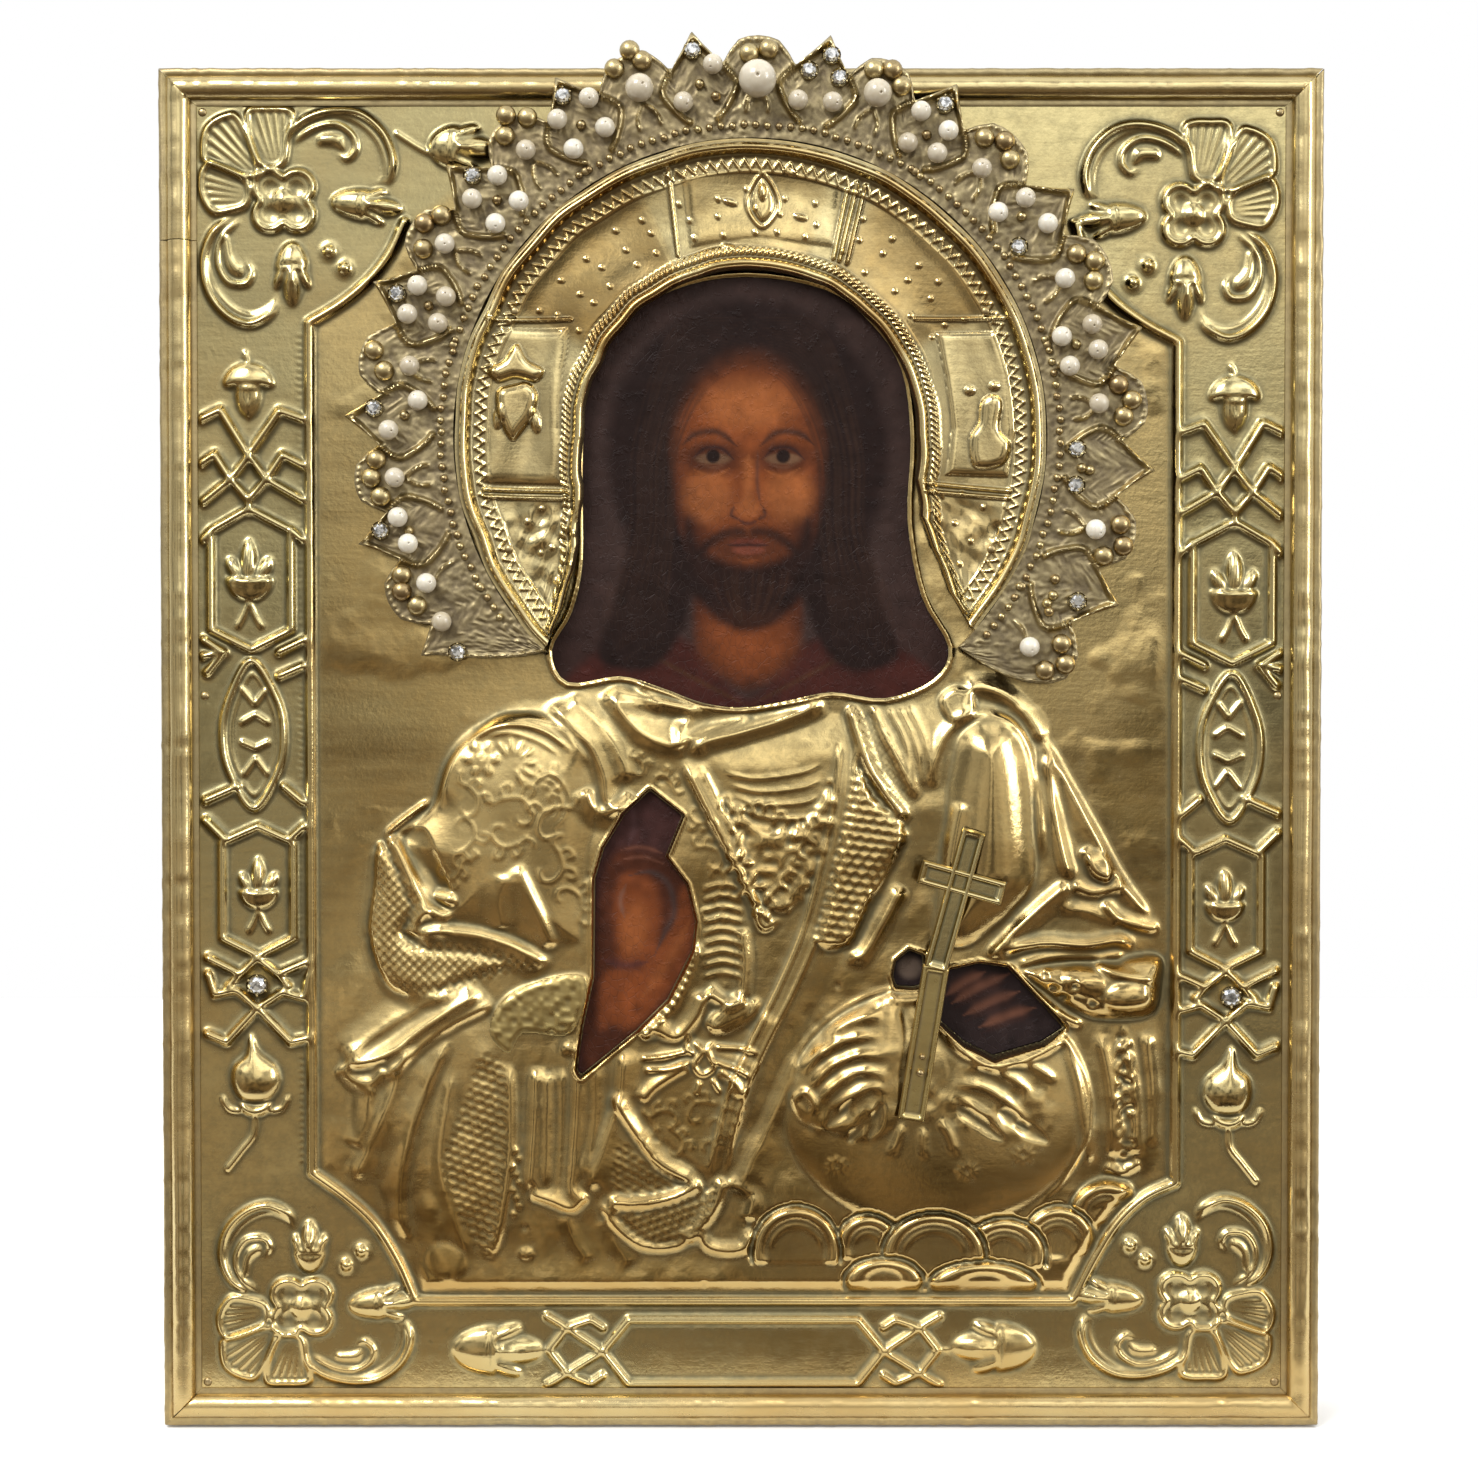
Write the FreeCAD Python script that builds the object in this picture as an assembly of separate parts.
import FreeCAD, Part
import math
import os

V = FreeCAD.Vector

# Wooden panel
PANEL_WIDTH = 266.0
PANEL_HEIGHT = 311.6
PANEL_THICKNESS = 26.0
PLANK_JOINT_OFFSET = 21.0
PLANK_JOINT_GAP = 0.1
BATTEN_WIDTH = 26.0
BATTEN_TAPER = 4.0
BATTEN_DEPTH = 9.0
BATTEN_UNDERCUT = 3.0
BATTEN_PROUD = 1.5
BATTEN_SHORT = 14.0
BATTEN_UPPER_SHARE = 0.79
BATTEN_LOWER_SHARE = 0.2
BATTEN_CLEARANCE = 0.15

# Layers on the front of the panel
LINEN_THICKNESS = 0.4
GESSO_THICKNESS = 1.2
PAINT_THICKNESS = 0.3
LAYER_MARGIN = 1.5

# Metal cover
SHEET = 0.5
COVER_MARGIN = 0.4
RIM_WIDTH = 8.6
RIM_BEAD_RADIUS = 3.1
RIM_STEPS = 6
RIM_FLANGE_DEPTH = 24.0
RIM_SEAM_GAP = 0.2
RIM_LAP_DROP = 38.8
FLANGE_FIT = 0.1
CUT_OVERRUN = 2.0

# Heights of the embossed forms above the flat sheet
FRAME_BEAD_HEIGHT = 1.6
FRAME_BEAD_WIDTH = 4.4
STRAP_HEIGHT = 1.1
STRAP_WIDTH = 1.9
SCROLL_HEIGHT = 1.7
SCROLL_WIDTH = 2.3
FLOWER_RADIUS = 7.6
FLOWER_HEIGHT = 2.2
LEAF_HEIGHT = 1.8
LEAF_SLOPE = 1.0
BERRY_RADIUS = 1.5
BERRY_HEIGHT = 1.3
BODY_HEIGHT = 2.2
BODY_SLOPE = 2.4
SLEEVE_HEIGHT = 5.6
SLEEVE_SLOPE = 3.6
LINING_HEIGHT = 3.4
STOLE_HEIGHT = 3.6
LAPEL_HEIGHT = 4.6
SHOULDER_HEIGHT = 7.4
SHOULDER_SLOPE = 4.6
CUFF_HEIGHT = 6.0
PANEL_FOLD_HEIGHT = 3.4
ROBE_SLOPE = 1.6
ORB_HEIGHT = 7.0
CLOUD_HEIGHT = 7.8
CLOUD_SLOPE = 1.8
FOLD_HEIGHT = 1.5
FOLD_WIDTH = 2.2

# Nimbus, centred on its own axis
NIMBUS_BEAD_HEIGHT = 5.2
NIMBUS_PANEL_HEIGHT = 2.6
NIMBUS_PANEL_DIP = 1.1
NIMBUS_INNER_BEAD_HEIGHT = 4.4
NIMBUS_START_ANGLE = -37.0
NIMBUS_END_ANGLE = 224.0
RING_STEPS = 28
ARM_RIB_WIDTH = 1.3
ARM_RIB_HEIGHT = 0.6

# Crown
CROWN_THICKNESS = 1.1
CROWN_STANDOFF = 3.6
CROWN_LOBE_ANGLES = [-37.5, -15.4, 4.7, 26.6, 48.9, 69.5, 88.9, 107.8, 128.4, 148.1, 168.7, 187.0, 204.7]
CROWN_TIP_ANGLES = [-24.6, -4.8, 15.4, 37.2, 59.5, 78.6, 98.3, 118.6, 138.4, 157.8, 177.2, 195.4]
CROWN_VALLEY_SHARE = 0.58
CROWN_LOBE_SHARE = 0.32
CROWN_TIP_SHARE = 0.78
CROWN_RIDGE_HEIGHT = 1.0
CROWN_RIDGE_WIDTH = 1.5
CROWN_BERRY_RADIUS = 1.7
CROWN_BERRY_HEIGHT = 1.5

# Pearls and stones
STONE_HEIGHT = 1.5
CUP_WALL = 0.4
CUP_HEIGHT = 1.2
STONE_FIT = 0.05

# Applied cross on the orb
CROSS_WIDTH = 4.8
CROSS_THICKNESS = 1.6
CROSS_ARM_LENGTH = 20.2
CROSS_FOOT_WIDTH = 6.2
CROSS_FOOT_THICKNESS = 1.2
CROSS_STANDOFF = 0.3
RIVET_RADIUS = 1.0
RIVET_HEIGHT = 0.7
PATCH_THICKNESS = 1.8

# Nails and pins
NAIL_HEAD_RADIUS = 1.5
NAIL_HEAD_HEIGHT = 0.7
NAIL_SHANK_RADIUS = 0.5
NAIL_LENGTH = 9.0
PIN_HEAD_RADIUS = 1.1
PIN_HEAD_HEIGHT = 0.6
PIN_SHANK_RADIUS = 0.4
PIN_LENGTH = 7.0
PIN_RIM_GAP = 0.3
PIN_MIDDLE_SHARE = 0.54

# Hanging fittings on the back
PIVOT_DROP = 20.2
RING_RADIUS = 11.0
RING_WIRE_RADIUS = 1.1
RING_SIDES = 7
RING_TURN_STEPS = 24
RING_CLEARANCE = 0.45
STAPLE_WIRE = 2.0
STAPLE_SHANK = 12.0
STAPLE_WIDTH = 3.0
PLATE_WIDTH = 13.0
PLATE_HEIGHT = 17.0
PLATE_THICKNESS = 0.8
PLATE_CORNER = 2.0

# Pixel frame of the reference picture: the field inside the rim
PX_LEFT = 199
PX_RIGHT = 1283
PX_TOP = 109
PX_BASE = 1391

# Pixel places and radii round the nimbus, and of pearls, stones and the orb
PX_NIMBUS = (750, 438)
PX_NIMBUS_OUTER = 293
PX_NIMBUS_INNER = 165.5
PX_NIMBUS_BEAD = 19
PX_NIMBUS_INNER_BEAD = 14.7
PX_CROWN_INNER = 294.3
PX_CROWN_SKIRT = 297.8
PX_CROWN_VALLEY = 366
PX_CROWN_SHOULDER = 381
PX_CROWN_SIDE = 392
PX_CROWN_LOBE = 394
PX_CROWN_TIP = 403
PX_PEARL = 10
PX_SIDE_PEARL = 14
PX_TOP_PEARL = 18.6
PX_STONE = 7.8
PX_BORDER_STONE = 9.5
PX_ORB_HALF_WIDTH = 154
PX_ORB_HALF_TALL = 130

# Derived places
BASE_GAP = SHEET + FLANGE_FIT
COVER_WIDTH = PANEL_WIDTH + 2 * BASE_GAP
COVER_HEIGHT = PANEL_HEIGHT + 2 * BASE_GAP
PX_MIDDLE = (PX_LEFT + PX_RIGHT) / 2
SCALE_X = (COVER_WIDTH - 2 * RIM_WIDTH) / (PX_RIGHT - PX_LEFT)
SCALE_Z = (COVER_HEIGHT - 2 * RIM_WIDTH) / (PX_BASE - PX_TOP)
MM_PER_PX = min(SCALE_X, SCALE_Z)
PEARL_RADIUS = PX_PEARL * MM_PER_PX
SIDE_PEARL_RADIUS = PX_SIDE_PEARL * MM_PER_PX
TOP_PEARL_RADIUS = PX_TOP_PEARL * MM_PER_PX
STONE_RADIUS = PX_STONE * MM_PER_PX
BORDER_STONE_RADIUS = PX_BORDER_STONE * MM_PER_PX
BACK_Y = PANEL_THICKNESS / 2
WOOD_FRONT_Y = -PANEL_THICKNESS / 2
PAINT_FRONT_Y = WOOD_FRONT_Y - LINEN_THICKNESS - GESSO_THICKNESS - PAINT_THICKNESS
FACE_Y = PAINT_FRONT_Y - SHEET
PANEL_TOP = BASE_GAP + PANEL_HEIGHT
PIVOT_HEIGHT = PANEL_TOP - PIVOT_DROP
RIM_LAP_HEIGHT = PANEL_TOP - RIM_LAP_DROP
PIVOT_Y = BACK_Y + PLATE_THICKNESS + RING_WIRE_RADIUS + RING_CLEARANCE
NAIL_SIDES = 5
PEARL_SIDES = 6
BERRY_SIDES = 5
STONE_SIDES = 6
FLATNESS = 1e-6


def place(px, py):
    """Millimetre X and Z of a pixel of the reference picture."""
    return ((px - PX_MIDDLE) * SCALE_X, RIM_WIDTH + (PX_BASE - py) * SCALE_Z)


def places(pixels):
    return [place(px, py) for px, py in pixels]


def polar(radius, angle):
    """X and Z of a point at a pixel radius round the nimbus axis, angles from +X upward."""
    turn = math.radians(angle)
    return place(PX_NIMBUS[0] + radius * math.cos(turn), PX_NIMBUS[1] - radius * math.sin(turn))


def save(shape, node):
    shape.exportStep(os.path.join("parts", node + ".step"))


def box(x0, x1, y0, y1, z0, z1):
    return Part.makeBox(x1 - x0, y1 - y0, z1 - z0, V(x0, y0, z0))


# Plane outlines

def area(points):
    total = 0
    for (ax, az), (bx, bz) in zip(points, points[1:] + points[:1]):
        total += ax * bz - bx * az
    return total / 2


def offset_loop(points, distance):
    """Closed outline moved outward by distance, with mitred corners."""
    sign = 1 if area(points) > 0 else -1
    moved = []
    for before, here, after in zip(points[-1:] + points[:-1], points, points[1:] + points[:1]):
        ux, uz = unit(before, here)
        vx, vz = unit(here, after)
        nx, nz = (uz + vz) * sign, -(ux + vx) * sign
        length = math.hypot(nx, nz)
        step = distance * min(2 / length, 2.0) / length
        moved.append((here[0] + nx * step, here[1] + nz * step))
    return moved


def unit(start, end):
    dx, dz = end[0] - start[0], end[1] - start[1]
    length = math.hypot(dx, dz)
    return dx / length, dz / length


def strip_outline(points, width, end_share):
    """Outline of a strip of a width along an open line, drawn in at both ends."""
    left, right = [], []
    last = len(points) - 1
    for i, here in enumerate(points):
        before = unit(points[i - 1], here) if i else unit(here, points[i + 1])
        after = unit(here, points[i + 1]) if i < last else before
        tx, tz = before[0] + after[0], before[1] + after[1]
        length = math.hypot(tx, tz)
        stretch = min(2 / length, 1.6)
        half = width / 2 * (end_share if i in (0, last) else stretch)
        nx, nz = -tz / length * half, tx / length * half
        left.append((here[0] + nx, here[1] + nz))
        right.append((here[0] - nx, here[1] - nz))
    return left + right[::-1]


def arc_points(start, middle, end, count):
    """Points on the circular arc through three plane points."""
    arc = Part.Arc(V(start[0], 0, start[1]), V(middle[0], 0, middle[1]), V(end[0], 0, end[1]))
    span = arc.LastParameter - arc.FirstParameter
    found = [arc.value(arc.FirstParameter + span * i / count) for i in range(count + 1)]
    ordered = [(p.x, p.z) for p in found]
    if math.dist(ordered[0], start) > math.dist(ordered[-1], start):
        ordered.reverse()
    return ordered


def smooth_loop(points, count):
    """Closed outline of count points on the smooth curve through the given points."""
    curve = Part.BSplineCurve()
    curve.interpolate(Points=[V(x, 0, z) for x, z in points], PeriodicFlag=True)
    span = curve.LastParameter - curve.FirstParameter
    found = [curve.value(curve.FirstParameter + span * i / count) for i in range(count)]
    return [(p.x, p.z) for p in found]


def prism(points, y_front, y_back):
    vectors = [V(x, y_back, z) for x, z in points]
    face = Part.Face(Part.makePolygon(vectors + vectors[:1]))
    return face.extrude(V(0, y_front - y_back, 0))


def flat_faces(corners):
    """One face through four corners where they lie in a plane, else two."""
    a, b, c, d = corners
    if abs((b - a).cross(c - a).dot(d - a)) < FLATNESS:
        return [Part.Face(Part.makePolygon([a, b, c, d, a]))]
    return [Part.Face(Part.makePolygon([a, b, c, a])), Part.Face(Part.makePolygon([a, c, d, a]))]


def stacked(loops, ys):
    """Solid with flat facets through outlines of equal point count, each at its own Y."""
    return skinned([[V(x, y, z) for x, z in loop] for loop, y in zip(loops, ys)])


def skinned(rings, endless=False):
    """Solid with flat facets through rings of points, its two ends capped or joined to each other."""
    ends = [] if endless else [rings[0], rings[-1]]
    faces = [Part.Face(Part.makePolygon(ring + ring[:1])) for ring in ends]
    for low, high in zip(rings, rings[1:] + (rings[:1] if endless else [])):
        for i in range(len(low)):
            after = (i + 1) % len(low)
            faces += flat_faces((low[i], low[after], high[after], high[i]))
    shell = Part.makeShell(faces)
    shell.sewShape()
    solid = Part.makeSolid(shell)
    if solid.Volume < 0:
        solid.reverse()
    return solid


# Embossed forms, all standing on the flat sheet towards -Y

def raised(loops, heights, root_y):
    """Body through outlines at rising heights above the sheet, rooted at root_y."""
    return stacked([loops[0]] + loops, [root_y] + [FACE_Y - height for height in heights])


def pad(points, height, slope):
    """Pillow form: steep at its foot and, where its slope is wide, easing over towards its top."""
    if slope <= ROBE_SLOPE:
        return raised([points, offset_loop(points, -slope)], [0, height], FACE_Y + SHEET / 2)
    loops = [points, offset_loop(points, -slope * 0.35), offset_loop(points, -slope)]
    return raised(loops, [0, height * 0.7, height], FACE_Y + SHEET / 2)


def leaf(points, height):
    """Small form with one slanting side all round."""
    return raised([points, offset_loop(points, -LEAF_SLOPE)], [0, height], FACE_Y + SHEET / 2)


def pad_cavity(points, height, slope):
    """Hollow behind a pad, one sheet thickness inside it."""
    inner = offset_loop(points, -SHEET * 1.5)
    loops = [inner, offset_loop(inner, -slope)]
    return raised(loops, [0, height - SHEET], FACE_Y + SHEET + CUT_OVERRUN)


def bead(points, width, height, end_share=0.5):
    """Raised strap with sloping sides along an open line."""
    foot = strip_outline(points, width, end_share)
    crest = strip_outline(points, width * 0.4, end_share)
    return raised([foot, crest], [0, height], FACE_Y + SHEET / 2)


def closed_bead(points, width, height):
    """Raised strap round a closed outline."""
    outer = [offset_loop(points, width / 2), offset_loop(points, width * 0.2)]
    inner = [offset_loop(points, -width / 2), offset_loop(points, -width * 0.2)]
    body = raised(outer, [0, height], FACE_Y + SHEET / 2)
    hollow = raised(inner + inner[1:], [0, height, height + CUT_OVERRUN], FACE_Y + SHEET / 2)
    return body.cut(hollow)


def ring_points(x, z, radius, count=NAIL_SIDES, start=0):
    turns = [math.radians(start + 360 * i / count) for i in range(count)]
    return [(x + radius * math.cos(t), z + radius * math.sin(t)) for t in turns]


def stud(x, z, radius, height, y_root, y_foot, top_share=0.45):
    """Faceted low dome of a berry."""
    loops = [ring_points(x, z, radius * share, BERRY_SIDES) for share in (1, 1, top_share)]
    return stacked(loops, [y_root, y_foot, y_foot - height])


def berry(x, z, radius=BERRY_RADIUS, height=BERRY_HEIGHT):
    return stud(x, z, radius, height, FACE_Y + SHEET / 2, FACE_Y)


# Cover sheet: windows

FACE_WINDOW = [(745, 278), (672, 292), (613, 333), (588, 385), (583, 470), (583, 560), (572, 612),
               (552, 650), (568, 682), (620, 676), (660, 687), (704, 703), (745, 707), (789, 700),
               (832, 692), (885, 698), (933, 679), (948, 647), (921, 596), (907, 520), (910, 440),
               (901, 371), (871, 325), (825, 291)]
FACE_WINDOW_POINTS = 34
HAND_WINDOW = [(650, 790), (682, 815), (665, 856), (686, 884), (695, 921), (692, 949), (667, 999),
               (636, 1030), (581, 1075), (577, 1069), (583, 1027), (594, 977), (595, 878),
               (604, 848), (625, 814)]
ORB_WINDOW = [(947, 970), (979, 963), (1007, 967), (1063, 1027), (1042, 1041), (993, 1055),
              (964, 1041), (940, 1020), (938, 998)]
SMALL_WINDOW = [(896, 961), (909, 950), (922, 955), (923, 984), (912, 986), (896, 985), (893, 975)]


def windows():
    front = FACE_Y - SHOULDER_HEIGHT - CUT_OVERRUN
    back = PAINT_FRONT_Y + CUT_OVERRUN
    face = prism(smooth_loop(places(FACE_WINDOW), FACE_WINDOW_POINTS), front, back)
    others = [prism(places(points), front, back) for points in (HAND_WINDOW, ORB_WINDOW, SMALL_WINDOW)]
    return [face] + others


# Cover sheet: inner frame line with its cut-in corners

FRAME_CORNERS = [
    [(1074, 226), (1112, 300), (1176, 345)],
    [(1176, 1184), (1112, 1230), (1074, 1302)],
    [(414, 1302), (380, 1230), (311, 1174)],
    [(311, 325), (368, 285), (405, 226)],
]
CORNER_STEPS = 4


def frame_bead():
    """Frame line round the figure, open at the top where the crown lies."""
    line = []
    for corner in FRAME_CORNERS:
        start, middle, end = places(corner)
        line += arc_points(start, middle, end, CORNER_STEPS)
    return bead(line, FRAME_BEAD_WIDTH, FRAME_BEAD_HEIGHT)


# Cover sheet: the four corner bouquets, drawn for the upper left and mirrored

LOWER_SHARE = -0.84
FLOWER_CENTRES = [((286, 203), 1, 1), ((1191, 217), -1, 1), ((300, 1309), 1, LOWER_SHARE),
                  ((1191, 1303), -1, LOWER_SHARE)]
FLOWER_POINTS = 8
FLOWER_WAIST_SHARE = 0.62
PETALS = [
    [(-2, -34), (-22, -36), (-34, -86), (-16, -92), (4, -86)],
    [(-28, -32), (-44, -80), (-64, -82), (-80, -62), (-76, -38), (-36, -22)],
    [(-38, -18), (-76, -32), (-83, -10), (-70, 12), (-36, 4)],
]
UPPER_SCROLL = [(8, -68), (38, -82), (74, -86), (104, -72), (116, -40), (106, -18)]
SIDE_SCROLL = [(-66, 14), (-80, 48), (-74, 92), (-44, 122), (-20, 120), (-8, 106)]
UPPER_COMMA = [(10, -62), (40, -78), (66, -66), (72, -48), (60, -42), (44, -54), (22, -54)]
SIDE_COMMA = [(-60, 22), (-72, 58), (-58, 86), (-38, 80), (-34, 68), (-52, 56), (-50, 30)]
ACROSS_BUD = [(46, 10), (58, -4), (84, -2), (114, 12), (86, 22), (58, 30)]
DOWN_BUD = [(-8, 48), (8, 36), (24, 48), (22, 76), (10, 104), (-6, 76)]
CORNER_BERRIES = [(45, 50), (59, 67)]


def corner_bouquet(centre, mirror_x, mirror_z):
    def turned(points):
        return places([(centre[0] + x * mirror_x, centre[1] + z * mirror_z) for x, z in points])

    x, z = place(*centre)
    flower = []
    for i in range(FLOWER_POINTS):
        turn = 2 * math.pi * i / FLOWER_POINTS
        reach = FLOWER_RADIUS * (FLOWER_WAIST_SHARE + (1 - FLOWER_WAIST_SHARE) * abs(math.sin(2 * turn)))
        flower.append((x + reach * math.cos(turn), z + reach * math.sin(turn)))
    forms = [leaf(flower, FLOWER_HEIGHT)]
    for outline in PETALS + [UPPER_COMMA, SIDE_COMMA, ACROSS_BUD, DOWN_BUD]:
        forms.append(leaf(turned(outline), LEAF_HEIGHT))
    for scroll in (UPPER_SCROLL, SIDE_SCROLL):
        forms.append(bead(turned(scroll), SCROLL_WIDTH, SCROLL_HEIGHT))
    forms += [berry(bx, bz) for bx, bz in turned(CORNER_BERRIES)]
    return forms


# Cover sheet: strapwork of the side borders, drawn for the left and mirrored to the right

SIDE_STRAPS = [
    [(207, 420), (221, 412), (250, 458), (268, 480), (250, 500), (232, 482), (250, 462)],
    [(302, 420), (281, 414), (250, 458)],
    [(207, 462), (216, 456), (232, 480), (207, 500)],
    [(302, 466), (284, 458), (268, 480), (303, 498)],
    [(250, 500), (250, 512)],
    [(224, 652), (208, 660), (224, 668)],
    [(278, 650), (303, 666), (280, 676)],
    [(209, 798), (236, 788)],
    [(303, 802), (284, 786)],
    [(210, 958), (240, 972), (257, 958), (278, 972), (305, 962)],
    [(210, 972), (214, 996), (236, 992), (257, 1008), (290, 1042), (306, 1038)],
    [(306, 975), (304, 998), (282, 992), (257, 1008), (226, 1042), (208, 1036)],
    [(240, 972), (228, 984), (236, 992)],
    [(278, 972), (288, 984), (282, 992)],
    [(255, 1120), (249, 1148), (218, 1164)],
]
HEXAGONS = [
    [(250, 508), (292, 530), (292, 632), (252, 650), (212, 632), (212, 530)],
    [(258, 826), (293, 842), (293, 938), (258, 956), (222, 938), (222, 842)],
]
VESICA_TIPS = [(252, 662), (254, 806)]
VESICA_SIDES = [(282, 732), (224, 732)]
VESICA_STEPS = 4
SIDE_ACORNS = [
    [(250, 362), (272, 376), (262, 398), (250, 416), (238, 398), (228, 376)],
    [(250, 544), (262, 566), (274, 578), (250, 602), (232, 578), (240, 566)],
    [(258, 866), (280, 890), (268, 904), (258, 926), (250, 904), (242, 890)],
    [(252, 1040), (272, 1074), (280, 1098), (254, 1118), (230, 1098), (236, 1068)],
]
CHEVRONS = [[(242, 688), (255, 704), (266, 694)], [(242, 722), (266, 722)], [(242, 740), (266, 740)],
            [(244, 772), (256, 758), (268, 772)]]
RIGHT_DROP = 13


def border_forms(mirrored):
    def turned(points):
        if mirrored:
            points = [(2 * PX_MIDDLE + 3 - x, y + RIGHT_DROP) for x, y in points]
        return places(points)

    forms = [bead(turned(line), STRAP_WIDTH, STRAP_HEIGHT, end_share=0.8) for line in SIDE_STRAPS[1:]]
    forms.append(bead(turned(SIDE_STRAPS[0][:3]), STRAP_WIDTH, STRAP_HEIGHT, end_share=0.8))
    forms.append(closed_bead(turned(SIDE_STRAPS[0][2:6]), STRAP_WIDTH, STRAP_HEIGHT))
    forms += [bead(turned(line), STRAP_WIDTH * 0.8, STRAP_HEIGHT) for line in CHEVRONS]
    forms += [closed_bead(turned(loop), STRAP_WIDTH, STRAP_HEIGHT) for loop in HEXAGONS]
    top, bottom = turned(VESICA_TIPS)
    near, far = turned(VESICA_SIDES)
    vesica = arc_points(top, near, bottom, VESICA_STEPS)[:-1]
    vesica += arc_points(bottom, far, top, VESICA_STEPS)[:-1]
    forms.append(closed_bead(vesica, STRAP_WIDTH, STRAP_HEIGHT))
    forms += [leaf(turned(loop), LEAF_HEIGHT) for loop in SIDE_ACORNS]
    return forms


# Cover sheet: bottom border with its plain oblong field

BOTTOM_FIELD = [(628, 1322), (858, 1322), (884, 1354), (858, 1385), (628, 1385), (602, 1354)]
BOTTOM_STRAPS = [
    [(602, 1354), (566, 1330), (548, 1318)],
    [(602, 1354), (566, 1374), (548, 1385)],
    [(884, 1354), (920, 1330), (938, 1318)],
    [(884, 1354), (920, 1374), (938, 1385)],
]
BOTTOM_BUDS = [
    [(456, 1353), (490, 1330), (530, 1342), (552, 1353), (530, 1366), (490, 1378)],
    [(1030, 1350), (1000, 1330), (966, 1342), (950, 1350), (966, 1362), (1000, 1376)],
]
TOP_ACORN = [(436, 148), (452, 130), (476, 136), (492, 152), (474, 166), (450, 164)]


def bottom_forms():
    forms = [closed_bead(places(BOTTOM_FIELD), STRAP_WIDTH, STRAP_HEIGHT)]
    forms += [bead(places(line), STRAP_WIDTH, STRAP_HEIGHT) for line in BOTTOM_STRAPS]
    forms += [leaf(places(loop), LEAF_HEIGHT) for loop in BOTTOM_BUDS]
    forms.append(leaf(places(TOP_ACORN), LEAF_HEIGHT))
    return forms


# Cover sheet: the robed half figure

BODY = [(552, 690), (487, 716), (446, 764), (432, 806), (384, 838), (372, 935), (400, 1000), (345, 1062),
        (368, 1170), (405, 1210), (440, 1282), (600, 1284), (760, 1284), (1000, 1284), (1068, 1260),
        (1100, 1190), (1156, 1165), (1156, 1020), (1150, 925), (1100, 830), (1045, 745), (985, 712),
        (935, 706), (850, 712), (745, 726), (660, 706), (600, 696)]
SLEEVE = [(468, 735), (505, 712), (560, 722), (606, 760), (604, 830), (590, 890), (586, 950), (540, 952),
          (476, 936), (418, 930), (428, 903), (396, 842), (432, 806), (444, 764)]
LINING = [(378, 842), (398, 858), (420, 904), (408, 938), (476, 944), (540, 960), (470, 980), (411, 992),
          (386, 980), (371, 935), (376, 884)]
STOLE = [(482, 1052), (508, 1064), (505, 1140), (490, 1232), (484, 1250), (434, 1182), (450, 1137), (461, 1089)]
PLEATS = [(528, 1064), (560, 1062), (578, 1090), (620, 1052), (618, 1120), (600, 1190), (575, 1206), (534, 1196)]
HEM = [(602, 1200), (632, 1130), (660, 1150), (700, 1176), (722, 1184), (706, 1216), (690, 1238), (645, 1240)]
CHEST = [(700, 730), (760, 742), (824, 722), (846, 770), (822, 850), (800, 940), (765, 925), (720, 860),
         (690, 800), (688, 765)]
LAPEL = [(855, 778), (905, 832), (846, 940), (815, 934), (832, 856)]
SHOULDER = [(950, 745), (972, 722), (1008, 716), (1036, 738), (1048, 800), (1052, 868), (1000, 930), (962, 952),
            (930, 930), (936, 850), (944, 790)]
ARM_FOLD = [(1052, 750), (1084, 790), (1116, 876), (1078, 886), (1058, 860), (1056, 800)]
CUFF = [(1008, 958), (1056, 938), (1148, 932), (1154, 990), (1136, 1014), (1084, 1016), (1046, 1000)]
ORB_CENTRE = (940, 1095)
ORB_POINTS = 14
ORB_LEVELS = ((1.0, 0.0), (0.92, 0.46), (0.7, 0.82), (0.36, 1.0))
CLOUDS = [((785, 1245), 33), ((840, 1250), 33), ((930, 1248), 42), ((985, 1250), 30), ((1040, 1240), 36)]
CLOUD_POINTS = 9
FIGURE_PADS = (
    (BODY, BODY_HEIGHT, BODY_SLOPE), (SLEEVE, SLEEVE_HEIGHT, SLEEVE_SLOPE),
    (LINING, LINING_HEIGHT, ROBE_SLOPE), (STOLE, STOLE_HEIGHT, ROBE_SLOPE),
    (PLEATS, PANEL_FOLD_HEIGHT, ROBE_SLOPE), (HEM, STOLE_HEIGHT, ROBE_SLOPE),
    (CHEST, PANEL_FOLD_HEIGHT, ROBE_SLOPE), (LAPEL, LAPEL_HEIGHT, ROBE_SLOPE),
    (SHOULDER, SHOULDER_HEIGHT, SHOULDER_SLOPE), (ARM_FOLD, LAPEL_HEIGHT, ROBE_SLOPE),
    (CUFF, CUFF_HEIGHT, ROBE_SLOPE),
)
HOLLOW_PADS = (BODY, SLEEVE, CHEST, SHOULDER, CUFF)
FOLD_LINES = [
    [(341, 1060), (400, 1022), (487, 988)],
    [(384, 1078), (430, 1044), (474, 1014)],
    [(384, 1080), (384, 1110), (362, 1168)],
    [(560, 1062), (568, 1130), (560, 1204)],
    [(622, 1104), (655, 1150), (696, 1180)],
    [(632, 1196), (665, 1196), (702, 1180)],
    [(648, 1098), (672, 1070), (702, 1062), (722, 1072), (744, 1088)],
    [(612, 676), (640, 716), (690, 742)],
    [(850, 696), (912, 817), (861, 907), (842, 955)],
    [(1104, 900), (1130, 922), (1156, 930)],
    [(1098, 1052), (1112, 1120), (1110, 1170)],
]


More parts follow.
